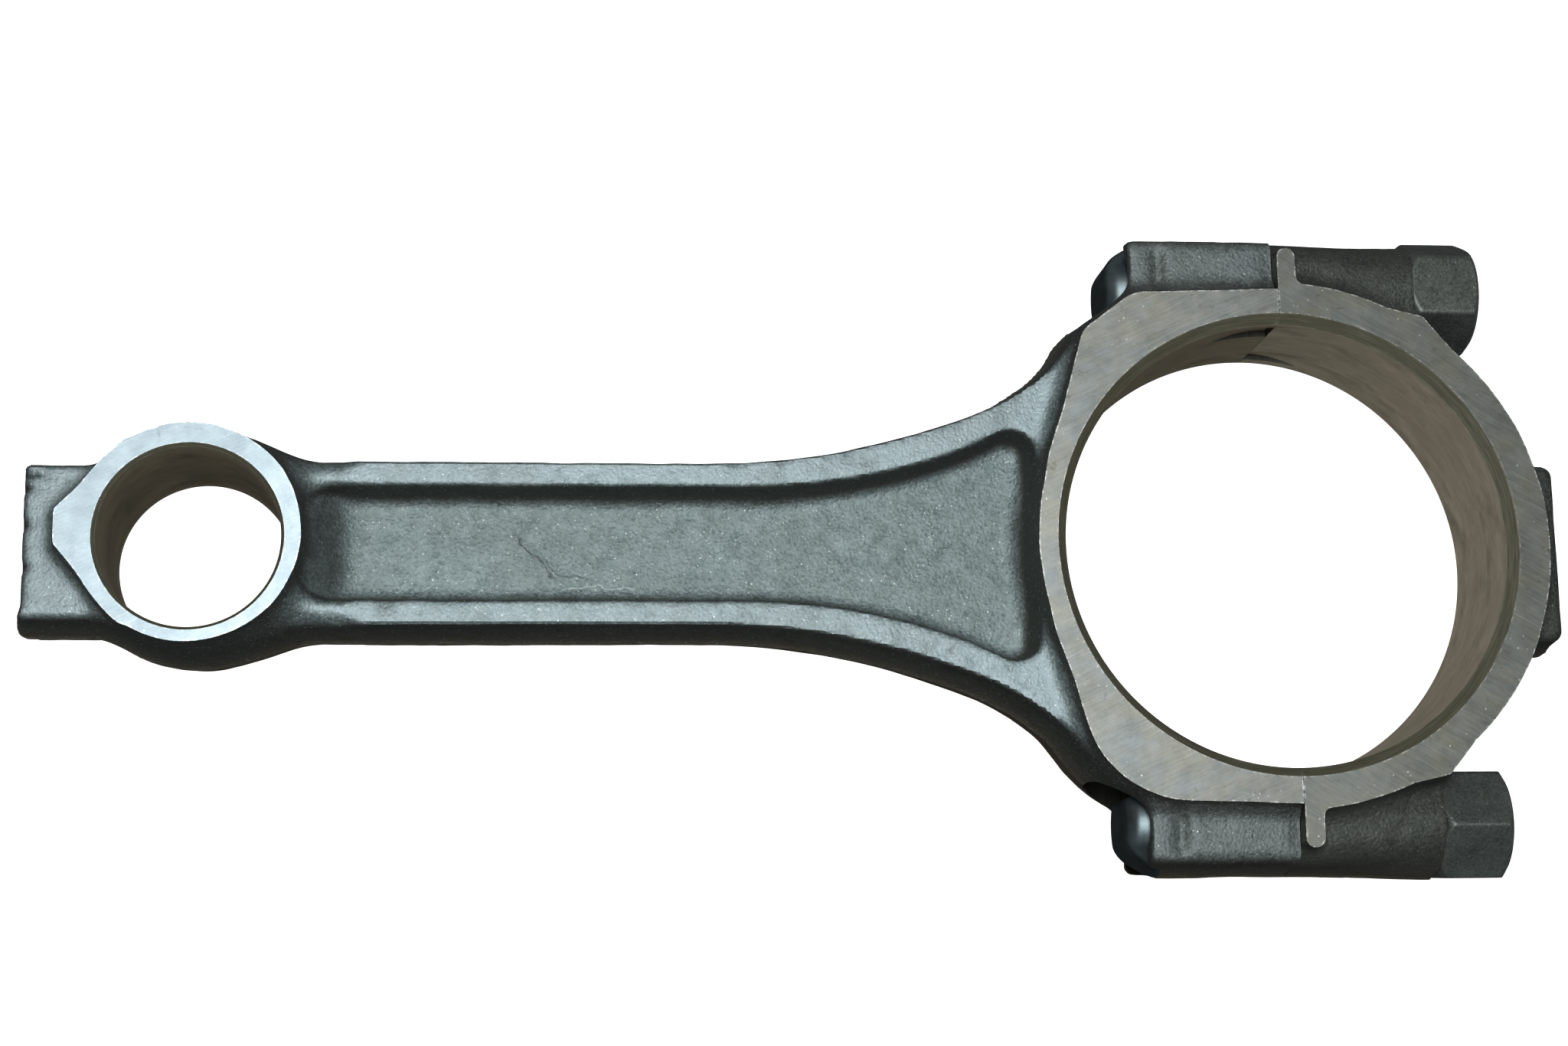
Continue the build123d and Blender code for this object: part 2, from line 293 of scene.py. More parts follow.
def rod_blank(x, y, z):
    """Rod forging: small end, I-beam and the upper half of the big end, before machining."""
    y = back_die(y, z)
    near_small_end = before(x - pin_x, soft_edges_end, 1.2)
    beam = drafted(outline_distance(beam_outline, x, y), z, beam_top, 0.5 + 1.9 * near_small_end)
    pocket_side = outline_distance(pocket_outline, x, y) - pocket_round
    pocket_side = pocket_side + (beam_top - np.abs(z)) * math.tan(draft)
    floor = half_web + floor_rise * before(x - pin_x, floor_rise_end, 2.3)
    pocket = round_and(pocket_side, floor - np.abs(z), pocket_floor_round)
    beam = round_and(beam, -pocket, 0.65 + 0.6 * near_small_end)

    ring = np.hypot(x - pin_x, y - small_ring_rise) - small_ring_radius
    ring = round_or(ring, outline_distance(nose_outline, x, y) - nose_round, 1.0)
    small_end = drafted(ring, z, small_face_z, 0.0, allowance)
    pad_end = rod_low[0] + small_pad_margin + small_pad_step * (1 - before(y, small_pad_step_y, 0.8))
    pad_distance = block(x, y, 0, (pin_x, 0, 0), (pin_x - pad_end, small_pad_half_width, 1e3), 0.7)
    pad_distance = np.maximum(pad_distance, x - pin_x)
    pad = drafted(pad_distance, z, small_pad_height, 1.0)

    upper = outline_distance(upper_shelf, x, y) - upper_round
    lower = outline_distance(lower_shelf, x, y) - lower_round
    shelf = round_or(np.where(y > 0, upper, lower), np.hypot(x, y) - rod_ring_radius, 1.5)
    big_end = drafted(shelf, z, big_face_z, 0.0, allowance)
    bosses = round_and(boss(y, z, 1.5), seat_x - 2.5 - x, 1.0)
    top = (1 - before(np.abs(z), 6.0, 1.2)) * before(np.abs(y), boss_top_y, 0.7)
    groove = np.exp(-(x - boss_groove_x) ** 2)
    raised = before(x, raised_end, 0.6) - before(x, boss_groove_x + 1.1, 0.7)
    bosses = bosses + top * (0.7 * groove - 0.3 * raised + 0.15)

    solid = round_or(beam, small_end, fillets["small end"])
    solid = round_or(solid, pad, fillets["pad"])
    solid = round_or(solid, big_end, fillets["big end"])
    solid = round_or(solid, bosses, fillets["bosses"])
    return solid - flash(z)


def cap_blank(x, y, z):
    """Cap forging before machining."""
    y = back_die(y, z)
    shelf = np.minimum(outline_distance(cap_shelf, x, y), np.hypot(x, y) - cap_ring_radius)
    ring = drafted(shelf, z, big_face_z, 0.0, allowance)
    pad_centre = bore_radius + (cap_high[0] - bore_radius) / 2
    pad_half = cap_high[0] - pad_centre - 1.25
    pad_distance = block(x, y, 0, (pad_centre, cap_pad_offset, 0), (pad_half, cap_pad_half_width, 1e3), 1.5)
    pad = drafted(pad_distance, z, cap_pad_height, 1.0)
    square = boss(y, z, cap_boss_round)
    barrel = np.hypot(np.abs(y) - bolt_y, z * 0.86) - cap_barrel_radius
    share = np.clip((x - 4) / 15, 0, 1)
    bosses = round_and(square * (1 - share) + barrel * share, x - nut_seat_x - allowance, 1.0)
    rib = block(x, y, z, (rib_width / 2, 0, 0), (rib_width / 2, rib_tip_y, BIG), 1.2)
    solid = round_or(ring, pad, fillets["cap pad"])
    solid = round_or(solid, bosses, fillets["bosses"])
    solid = round_or(solid, rib, fillets["rib"])
    return solid - flash(z)


# ---- Meshing ----
def surface_nets(field, low, step):
    """Points and quads on the zero surface of a sampled field."""
    inside = field < 0
    size = np.array(field.shape) - 1
    corners = [(i, j, k) for i in (0, 1) for j in (0, 1) for k in (0, 1)]
    count = np.zeros(size, np.int8)
    for i, j, k in corners:
        count += inside[i:size[0] + i, j:size[1] + j, k:size[2] + k]
    cells = np.argwhere((count > 0) & (count < 8))
    index = np.full(size, -1, np.int64)
    index[tuple(cells.T)] = np.arange(len(cells))
    total = np.zeros((len(cells), 3))
    hits = np.zeros(len(cells))
    for a in corners:
        for axis in range(3):
            if a[axis] == 0:
                b = tuple(1 if n == axis else a[n] for n in range(3))
                fa = field[tuple((cells + a).T)]
                fb = field[tuple((cells + b).T)]
                crossing = (fa < 0) != (fb < 0)
                share = np.where(crossing, fa / np.where(crossing, fa - fb, 1), 0)
                point = np.array(a) + share[:, None] * (np.array(b) - np.array(a))
                total += point * crossing[:, None]
                hits += crossing
    points = low + (cells + total / hits[:, None]) * step
    quads = []
    for axis in range(3):
        u, v = (axis + 1) % 3, (axis + 2) % 3
        first = [slice(None)] * 3
        second = [slice(None)] * 3
        first[axis], second[axis] = slice(0, -1), slice(1, None)
        edges = np.argwhere(inside[tuple(first)] != inside[tuple(second)])
        across = edges[:, [u, v]]
        edges = edges[(across > 0).all(1) & (across < size[[u, v]]).all(1)]
        around = []
        for du, dv in ((-1, -1), (0, -1), (0, 0), (-1, 0)):
            cell = edges.copy()
            cell[:, u] += du
            cell[:, v] += dv
            around.append(index[tuple(cell.T)])
        faces = np.stack(around, 1)
        outward = inside[tuple(edges.T)]
        faces[~outward] = faces[~outward][:, ::-1]
        quads.append(faces)
    return points, np.concatenate(quads)


def lattice_noise(points, scale, seed):
    """Smooth noise between -1 and 1 with features of about the given size."""
    where = points / scale + seed * 17.3
    cell = np.floor(where).astype(np.int64)
    part = where - cell
    part = part * part * (3 - 2 * part)
    value = np.zeros(len(points))
    for i in (0, 1):
        for j in (0, 1):
            for k in (0, 1):
                c = cell + (i, j, k)
                hashed = (c[:, 0] * 73856093) ^ (c[:, 1] * 19349663) ^ (c[:, 2] * 83492791)
                hashed = hashed ^ (seed * 2654435761)
                hashed = (hashed ^ (hashed >> 13)) * 1274126177 & 0xFFFFFF
                weight = (
                    np.where(i, part[:, 0], 1 - part[:, 0])
                    * np.where(j, part[:, 1], 1 - part[:, 1])
                    * np.where(k, part[:, 2], 1 - part[:, 2])
                )
                value += weight * (hashed / 0x7FFFFF - 1)
    return value


def forged_mesh(name, blank, low, high, step, marks, seed):
    """Mesh of a forging blank, with an uneven skin and its own dents."""
    low, high = np.array(low, float), np.array(high, float)
    counts = np.ceil((high - low) / step).astype(int) + 1
    axes = [(low[n] + step * np.arange(counts[n])).astype(np.float32) for n in range(3)]
    cut_low, cut_high = low + 1.5 * step, low + step * (counts - 2.5)

    def closed(x, y, z):
        """The blank, sawn off just inside the sampled box."""
        ends = np.maximum(cut_low[0] - x, x - cut_high[0])
        faces = np.maximum(cut_low[2] - z, z - cut_high[2])
        return np.maximum(blank(x, y, z), np.maximum(ends, faces))

    def value(p):
        return closed(p[:, 0], p[:, 1], p[:, 2])

    field = closed(axes[0][:, None, None], axes[1][None, :, None], axes[2][None, None, :])
    points, quads = surface_nets(field, low, step)

    for _ in range(2):
        probe = 0.05
        here = value(points)
        slope = np.stack([(value(points + probe * axis) - here) / probe for axis in np.eye(3)], 1)
        slope /= np.maximum(np.linalg.norm(slope, axis=1), 0.3)[:, None]
        points = points - np.clip(here, -step / 2, step / 2)[:, None] * slope
    skin = 0.07 * lattice_noise(points, 7.0, seed) + 0.05 * lattice_noise(points, 3.0, seed + 1)
    skin += 0.03 * lattice_noise(points, 1.4, seed + 2)
    for centre, radius, depth in marks:
        away = (points - np.array(centre)) / np.array(radius)
        skin -= depth * np.exp(-np.sum(away * away, 1))
    points = points + skin[:, None] * slope
    return mesh_object(name, points, quads)


def mesh_object(name, points, faces):
    """Object from points in millimetres and a list or array of faces."""
    mesh = bpy.data.meshes.new(name)
    if isinstance(faces, np.ndarray):
        faces = faces.tolist()
    mesh.from_pydata((np.asarray(points) * MM).tolist(), [], faces)
    mesh.validate()
    piece = bpy.data.objects.new(name, mesh)
    bpy.context.scene.collection.objects.link(piece)
    return piece


# ---- Machining ----
FORGED, GROUND, BORED, CHAMFERED, MILLED = range(5)


def box_cutter(low, high, kind):
    points = [(x, y, z) for x in (low[0], high[0]) for y in (low[1], high[1]) for z in (low[2], high[2])]
    faces = [(0, 1, 3, 2), (4, 6, 7, 5), (0, 4, 5, 1), (2, 3, 7, 6), (0, 2, 6, 4), (1, 5, 7, 3)]
    return points, faces, [kind] * 6


def lathe_cutter(profile, kinds, centre, axis, steps=180, end_kind=None):
    """Solid of revolution. profile holds (radius, along the axis); kinds has one entry for each stretch."""
    points, faces, materials = [], [], []
    rows = len(profile)
    for n in range(steps):
        angle = 2 * math.pi * n / steps
        c, s = math.cos(angle), math.sin(angle)
        for radius, along in profile:
            if axis == "z":
                points.append((centre[0] + radius * c, centre[1] + radius * s, centre[2] + along))
            else:
                points.append((centre[0] + along, centre[1] + radius * c, centre[2] + radius * s))
    for n in range(steps):
        here, there = n * rows, (n + 1) % steps * rows
        for row in range(rows - 1):
            faces.append((here + row, there + row, there + row + 1, here + row + 1))
            materials.append(kinds[row])
    faces.append([n * rows for n in reversed(range(steps))])
    faces.append([n * rows + rows - 1 for n in range(steps)])
    materials += [kinds[0], kinds[-1]] if end_kind is None else [end_kind, end_kind]
    return points, faces, materials


def cut(piece, cutter):
    """Takes a cutter out of a piece. The new faces keep the cutter's own materials."""
    points, faces, kinds = cutter
    tool = mesh_object("cutter", points, faces)
    for material in piece.data.materials:
        tool.data.materials.append(material)
    tool.data.polygons.foreach_set("material_index", kinds)
    modifier = piece.modifiers.new("cut", "BOOLEAN")
    modifier.operation = "DIFFERENCE"
    modifier.solver = "MANIFOLD"
    modifier.object = tool
    result = bpy.data.meshes.new_from_object(piece.evaluated_get(bpy.context.evaluated_depsgraph_get()))
    piece.modifiers.remove(modifier)
    piece.data = result
    bpy.data.objects.remove(tool)


def bore_profile(radius, half, chamfer):
    reach = chamfer + 3.0
    wide = radius + chamfer_slope * reach
    return [
        (wide, -half - reach + chamfer), (radius, -half + chamfer),
        (radius, half - chamfer), (wide, half + reach - chamfer),
    ]


# how far the cutter that faces the bolt seats falls short of its radius, at distances behind the seat
bolt_seat_profile = [
    (6, 10.4), (3.2, 9.8), (1.3, 8.5), (0.3, 6.8), (0, 5),
    (0, 1.6), (0.2, 0.8), (0.6, 0.25), (1.2, 0),
]


def machine_rod(piece):
    reach = big_face_z + allowance + 3
    for face_z, x_range in ((big_face_z, (-60, 10)), (small_face_z, (rod_low[0] - 5, pin_x + 40))):
        for side in (1, -1):
            heights = sorted((side * face_z, side * (face_z + 4)))
            low, high = (x_range[0], -60, heights[0]), (x_range[1], 60, heights[1])
            cut(piece, box_cutter(low, high, GROUND))
    # the joint face takes the near-black milled finish: painted shade in the joint's gap
    cut(piece, box_cutter((-joint_gap, -60, -reach), (20, 60, reach), MILLED))
    kinds = [CHAMFERED, BORED, CHAMFERED]
    cut(piece, lathe_cutter(bore_profile(bore_radius, big_face_z, big_chamfer), kinds, (0, 0, 0), "z", 240))
    cut(piece, lathe_cutter(bore_profile(pin_radius, small_face_z, small_chamfer), kinds, (pin_x, 0, 0), "z"))
    for side in (1, -1):
        seat = [(bolt_seat_radius - short, seat_x - back) for short, back in bolt_seat_profile]
        # the seat's walls take the near-black milled finish: painted shade in the hollow by the bolt head
        kinds = [MILLED] * (len(seat) - 1)
        cut(piece, lathe_cutter(seat, kinds, (0, side * bolt_y, 0), "x", 120))
        hole = [(thread_radius, seat_x - 2), (thread_radius, 5)]
        cut(piece, lathe_cutter(hole, [BORED], (0, side * bolt_y, 0), "x", 96))
    cut(piece, tang_cutter(tang_z["rod"]))


def tang_cutter(height):
    half = tang_width / 2
    disc = [(tang_radius, -half), (tang_radius, half)]
    centre = (0, bore_radius + tang_depth - tang_radius, height)
    # the notch's floor takes the bored finish and its two side walls the near-black milled one: painted shade
    # under the notch's edges
    return lathe_cutter(disc, [BORED], centre, "z", 144, MILLED)


def machine_cap(piece):
    reach = big_face_z + allowance + 3
    for side in (1, -1):
        heights = sorted((side * big_face_z, side * (big_face_z + 4)))
        cut(piece, box_cutter((-10, -60, heights[0]), (60, 60, heights[1]), GROUND))
    # the joint face takes the near-black milled finish: painted shade in the joint's gap
    cut(piece, box_cutter((-20, -60, -reach), (joint_gap, 60, reach), MILLED))
    kinds = [CHAMFERED, BORED, CHAMFERED]
    cut(piece, lathe_cutter(bore_profile(bore_radius, big_face_z, big_chamfer), kinds, (0, 0, 0), "z", 240))
    for side in (1, -1):
        hole = [(thread_radius + hole_clearance, -5), (thread_radius + hole_clearance, 60)]
        cut(piece, lathe_cutter(hole, [BORED], (0, side * bolt_y, 0), "x", 96))
        seat = [(nut_seat_radius, nut_seat_x - 0.02), (nut_seat_radius, 60)]
        # the seat takes the near-black milled finish: painted shade between the ring and the nut
        cut(piece, lathe_cutter(seat, [MILLED], (0, side * bolt_y, 0), "x", 96))
    cut(piece, tang_cutter(tang_z["cap"]))


def shade(piece, limit_degrees=32):
    """Smooth shading, broken at sharp edges and where a machined face meets the forging."""
    bm = bmesh.new()
    bm.from_mesh(piece.data)
    limit = math.radians(limit_degrees)
    for face in bm.faces:
        face.smooth = True
    for edge in bm.edges:
        faces = edge.link_faces
        if len(faces) == 2:
            differs = faces[0].material_index != faces[1].material_index
            edge.smooth = not differs and edge.calc_face_angle(0) < limit
    bm.to_mesh(piece.data)
    bm.free()


# ---- Bolts and nuts ----
def soft_min(a, b, radius):
    """The lesser of two values, blended within a radius."""
    overlap = np.maximum(radius - np.abs(a - b), 0) / radius
    return np.minimum(a, b) - overlap * overlap * radius / 4


def thread_wave(x, angle):
    """0 on a crest and 1 in a root of a right-hand thread, with narrow flats on both."""
    phase = (x / thread_pitch - angle / (2 * math.pi)) % 1.0
    return np.clip(np.abs(2 * phase - 1) * 1.3 - 0.15, 0, 1)


def wrapped(name, x, radius, side, loop=False):
    """Surface around a bolt's axis, from rows of x and radius over evenly spaced angles."""
    rows, columns = radius.shape
    angle = 2 * math.pi * np.arange(columns) / columns
    x = np.broadcast_to(x, radius.shape)
    y = side * bolt_y + radius * np.cos(angle)
    z = radius * np.sin(angle)
    points = np.stack([x, y, z], -1).reshape(-1, 3)
    row = np.arange(rows if loop else rows - 1)[:, None]
    column = np.arange(columns)[None, :]
    here, up = row * columns, (row + 1) % rows * columns
    after = (column + 1) % columns
    faces = np.stack([here + column, up + column, up + after, here + after], -1).reshape(-1, 4).tolist()
    if not loop:
        faces.append(list(range(columns)))
        faces.append([(rows - 1) * columns + n for n in reversed(range(columns))])
    return mesh_object(name, points, faces)


def bolt_piece(name, side):
    """Rod bolt: bevelled head with one flat, press-fit knurl and rolled thread."""
    columns = 144
    angle = (2 * math.pi * np.arange(columns) / columns)[None, :]
    outward = side * np.cos(angle)
    head_end = bolt_low[0]
    head_radius, head_flat, bevel_start, bevel_rise = 7.0, 3.9, 3.2, 4.0
    edge = 1.6
    round_part = edge * (1 - np.cos(np.linspace(0, math.pi / 2, 9)))
    into = np.concatenate([round_part, np.linspace(edge + 0.3, seat_x - head_end, 12)])
    x_head = (head_end + into)[:, None]
    share = (x_head - head_end) / (seat_x - head_end)
    disc = np.ones(columns) * (head_radius - 0.9 * (1 - share) ** 1.3)
    flat = head_flat / np.maximum(-outward, 1e-3)
    bevel = (bevel_start + bevel_rise * share ** 0.85) / np.maximum(outward, 1e-3)
    head = soft_min(soft_min(disc, np.where(outward < -0.05, flat, 1e3), 0.5),
                    np.where(outward > 0.05, bevel, 1e3), 1.2)
    drop = edge - np.sqrt(np.maximum(edge ** 2 - (edge - np.minimum(into, edge)) ** 2, 0))
    head = head - drop[:, None]

    shank = thread_radius - 0.06
    x_knurl = np.linspace(-16, -5, 14)[:, None]
    knurl = thread_radius - 0.05 + 0.09 * np.abs(np.sin(angle * 36)) * np.ones_like(x_knurl)
    knurl[0] = knurl[-1] = shank
    thread_start = 4.0
    turns = (bolt_high[0] - thread_start) / thread_pitch
    x_thread = np.linspace(thread_start, bolt_high[0], int(turns * 8))[:, None]
    fade = np.clip((x_thread - thread_start) / 1.5, 0, 1)
    thread = thread_radius - 0.05 - 0.6 * fade * thread_wave(x_thread, angle)
    point = thread_radius - 0.85 + (bolt_high[0] - x_thread)
    thread = np.minimum(thread, point)
    x = np.concatenate([x_head, [[seat_x]], x_knurl, x_thread])
    plain = np.full((1, columns), shank)
    radius = np.concatenate([head, plain, knurl, thread])
    return wrapped(name, x, radius, side)


def nut_piece(name, side, corner_degrees):
    """Hexagon nut with both corners chamfered, worn edges and its own thread."""
    columns = 192
    angle = (2 * math.pi * np.arange(columns) / columns)[None, :]
    half_flats = 9 / 16 * 25.4 / 2
    # corners lie at this angle from +Z towards -Y; the surface's own angle runs from +Y to +Z
    first_corner = math.pi / 2 + math.radians(corner_degrees)
    away = (angle - first_corner + math.pi / 6) % (math.pi / 3) - math.pi / 6
    hexagon = soft_min(half_flats / np.cos(math.pi / 6 + away), half_flats / np.cos(math.pi / 6 - away), 0.35)
    start, end = nut_seat_x + 0.02, nut_high[0]
    x_side = np.concatenate([np.linspace(start, start + 2.4, 14), np.linspace(start + 3, end - 1.8, 6),
                             np.linspace(end - 1.4, end, 12)])[:, None]
    seat_cone = 7.2 + (x_side - start) * 0.85
    end_cone = 6.75 + (end - x_side) * 1.45
    outer = soft_min(soft_min(hexagon, seat_cone, 0.3), end_cone, 0.3)
    outer[0] -= 0.12
    outer[-1] -= 0.15
    mouth = thread_radius + 0.35
    x_bore = np.linspace(end, start, int((end - start) / thread_pitch * 8))[:, None]
    bore = thread_radius + 0.06 - 0.52 * thread_wave(x_bore, angle)
    bore = np.maximum(bore, mouth - np.minimum(x_bore - start, end - x_bore))
    inward = np.array([[0.35], [0.7]])          # across each end face, from its rim to the bore's mouth
    face_end = outer[-1] * (1 - inward) + mouth * inward
    face_seat = outer[0] * (1 - inward[::-1]) + mouth * inward[::-1]
    x = np.concatenate([x_side, np.full_like(inward, end), x_bore, np.full_like(inward, start)])
    radius = np.concatenate([outer, face_end, bore, face_seat])
    return wrapped(name, x, radius, side, loop=True)


# ---- Materials. Their textures are laid out in millimetres, in each piece's own space ----
class Finish:
    """Shorthand for one material's nodes."""

    def __init__(self, name):
        self.material = bpy.data.materials.new(name)
        self.material.use_nodes = True
        self.tree = self.material.node_tree
        self.tree.nodes.clear()
        self.shader = self.tree.nodes.new("ShaderNodeBsdfPrincipled")
        output = self.tree.nodes.new("ShaderNodeOutputMaterial")
        self.tree.links.new(self.shader.outputs[0], output.inputs["Surface"])
        place = self.tree.nodes.new("ShaderNodeTexCoord").outputs["Object"]
        self.place = self.vector("SCALE", place, Scale=1 / MM)

    def put(self, node, inputs):
        for name, value in inputs.items():
            socket = node.inputs[name]
            if isinstance(value, bpy.types.NodeSocket):
                self.tree.links.new(value, socket)
            else:
                socket.default_value = value

    def vector(self, operation, a, b=None, **inputs):
        node = self.tree.nodes.new("ShaderNodeVectorMath")
        node.operation = operation
        self.put(node, {0: a, **({} if b is None else {1: b}), **inputs})
        return node.outputs["Value" if operation in ("DOT_PRODUCT", "DISTANCE") else "Vector"]

    def math(self, operation, a, b=0.0):
        node = self.tree.nodes.new("ShaderNodeMath")
        node.operation = operation
        self.put(node, {0: a, 1: b})
        return node.outputs[0]

    def noise(self, size, detail=2.0, roughness=0.5, place=None):
        """Noise with features of about this size."""
        node = self.tree.nodes.new("ShaderNodeTexNoise")
        self.put(node, {"Vector": place or self.place, "Scale": 1 / size, "Detail": detail,
                        "Roughness": roughness})
        return node.outputs["Fac"]

    def cells(self, size):
        """Distance to the nearest of points about this far apart."""
        node = self.tree.nodes.new("ShaderNodeTexVoronoi")
        self.put(node, {"Vector": self.place, "Scale": 1 / size})
        return node.outputs["Distance"]

    def span(self, value, low, high, to_low=0.0, to_high=1.0):
        """Maps low..high to to_low..to_high, clamped."""
        node = self.tree.nodes.new("ShaderNodeMapRange")
        self.put(node, {"Value": value, "From Min": low, "From Max": high})
        self.put(node, {"To Min": to_low, "To Max": to_high})
        return node.outputs["Result"]

    def blend(self, factor, a, b, kind="MIX"):
        node = self.tree.nodes.new("ShaderNodeMix")
        node.data_type = "RGBA"
        node.blend_type = kind
        self.put(node, {0: factor, 6: a, 7: b})
        return node.outputs[2]

    def turned(self, degrees, stretch):
        """The place turned about the bores' axis and scaled, for marks that run one way."""
        node = self.tree.nodes.new("ShaderNodeMapping")
        node.vector_type = "TEXTURE"
        self.put(node, {"Vector": self.place, "Rotation": (0, 0, math.radians(degrees)), "Scale": stretch})
        return node.outputs["Vector"]

    def bump(self, height, distance, strength=1.0, under=None):
        node = self.tree.nodes.new("ShaderNodeBump")
        self.put(node, {"Height": height, "Distance": distance * MM, "Strength": strength})
        if under:
            self.put(node, {"Normal": under})
        return node.outputs["Normal"]

    def part(self, vector, axis):
        node = self.tree.nodes.new("ShaderNodeSeparateXYZ")
        self.put(node, {0: vector})
        return node.outputs[axis]

    def surface(self):
        """The surface's own direction, in the piece's space."""
        return self.tree.nodes.new("ShaderNodeTexCoord").outputs["Normal"]

    def arc(self, centre, radius, width, ends):
        """1 on a wavering line: part of a circle in the plane of the rod, between two places along X."""
        place = self.vector("MULTIPLY", self.place, (1, 1, 0))
        away = self.vector("DISTANCE", place, (centre[0], centre[1], 0))
        away = self.math("ADD", away, self.span(self.noise(2.4, 2), 0.3, 0.7, -0.55, 0.55))
        line = self.span(self.math("ABSOLUTE", self.math("SUBTRACT", away, radius)), width, 0)
        x = self.part(self.place, "X")
        inside = self.math("MULTIPLY", self.span(x, ends[0], ends[0] + 1), self.span(x, ends[1], ends[1] - 1))
        near = self.span(self.math("ABSOLUTE", self.part(self.place, "Y")), 7.5, 7)
        return self.math("MULTIPLY", self.math("MULTIPLY", line, inside), near)

    def edges(self, radius):
        """0 on even surface, rising towards 1 on a sharp edge."""
        node = self.tree.nodes.new("ShaderNodeBevel")
        node.samples = 4
        self.put(node, {"Radius": radius * MM})
        normal = self.tree.nodes.new("ShaderNodeNewGeometry").outputs["Normal"]
        agree = self.vector("DOT_PRODUCT", node.outputs["Normal"], normal)
        return self.span(agree, 0.98, 0.75)

    def set(self, **inputs):
        names = {"color": "Base Color", "metallic": "Metallic", "roughness": "Roughness", "normal": "Normal"}
        self.put(self.shader, {names[key]: value for key, value in inputs.items()})
        return self.material


def rgb(red, green, blue):
    return (red, green, blue, 1.0)


def forged_finish(name, dark, light, worn, pads, flecks, shine, scale_spots, laps=()):
    """Shot-blasted, darkened forging: pitted grain, bright flecks, painted shade on its steep walls, browner
    towards its back.
    """
    f = Finish(name)
    broad = f.noise(14, 3, 0.6)
    mottle = f.noise(2.6, 4, 0.65)
    grain = f.noise(0.42, 3, 0.6)
    pits = f.cells(0.55)
    tone = f.math("ADD", f.span(grain, 0.4, 0.6, 0, 0.65), f.span(mottle, 0.36, 0.64, 0, 0.35))
    color = f.blend(tone, dark, light)
    height = f.part(f.place, "Z")
    level = f.math("ADD", height, f.span(mottle, 0.3, 0.7, -0.3, 0.3))
    facing = f.math("ABSOLUTE", f.part(f.surface(), "Z"))
    rubbed = f.math("MULTIPLY", f.span(f.math("ABSOLUTE", level), 8.1, 8.7), f.span(facing, 0.8, 0.97))
    color = f.blend(f.math("MULTIPLY", rubbed, 0.55), color, worn)
    outboard = f.span(f.math("ABSOLUTE", f.part(f.place, "Y")), 25, 34)
    color = f.blend(f.math("MULTIPLY", outboard, 0.8), color, f.blend(tone, pads[0], pads[1]))
    # painted shade: steep walls get a dark colour, darkest towards +Z, paler and browner towards -Z
    wall = f.span(f.math("ADD", facing, f.span(mottle, 0.3, 0.7, -0.06, 0.06)), 0.9, 0.45)
    wall_shade = f.blend(f.span(height, 7.0, -6.0), rgb(0.042, 0.046, 0.042), rgb(0.18, 0.168, 0.128))
    color = f.blend(f.math("MULTIPLY", wall, 0.9), color, wall_shade)
    color = f.blend(f.span(broad, 0.35, 0.75, 0, 0.3), color, rgb(0.12, 0.135, 0.12))
    # browner towards the back (-Z), more so where the broad noise is high
    brown_towards_back = f.math("MULTIPLY", f.span(level, 3.0, -5.0), f.span(broad, 0.25, 0.6, 0.4, 1))
    color = f.blend(f.math("MULTIPLY", brown_towards_back, 0.5), color, rgb(0.13, 0.075, 0.035))
    line = f.span(f.math("ABSOLUTE", level), 0.1, 0.35, 0.25, 0)
    color = f.blend(line, color, rgb(0.26, 0.25, 0.21))
    fleck = f.span(f.cells(0.75), 0.16, 0.08)
    fleck = f.math("MULTIPLY", fleck, f.span(f.noise(1.7, 2), 0.42, 0.58))
    fine = f.span(f.cells(0.5), 0.24, 0.1)
    fine = f.math("MULTIPLY", fine, f.span(f.noise(1.1, 2), 0.45, 0.6, 0, 0.6))
    fleck = f.math("MAXIMUM", fleck, fine)
    color = f.blend(f.math("MULTIPLY", fleck, 0.65), color, flecks)
    stain = f.span(f.noise(scale_spots, 4, 0.7), 0.62, 0.72)
    color = f.blend(f.math("MULTIPLY", stain, 0.45), color, rgb(0.03, 0.028, 0.022))
    for centre, radius, width, ends, lap_color in laps:
        line = f.arc(centre, radius, width, ends)
        color = f.blend(f.math("MULTIPLY", line, f.span(grain, 0.35, 0.6, 0.3, 0.9)), color, lap_color)
    rough = f.span(grain, 0.3, 0.7, shine - 0.06, shine + 0.1)
    rough = f.math("SUBTRACT", rough, f.math("MULTIPLY", fleck, 0.12))
    normal = f.bump(f.span(pits, 0.0, 0.6), 0.07, 0.6)
    normal = f.bump(grain, 0.12, 0.85, normal)
    normal = f.bump(mottle, 0.25, 0.5, normal)
    return f.set(color=color, metallic=0.85, roughness=rough, normal=normal)


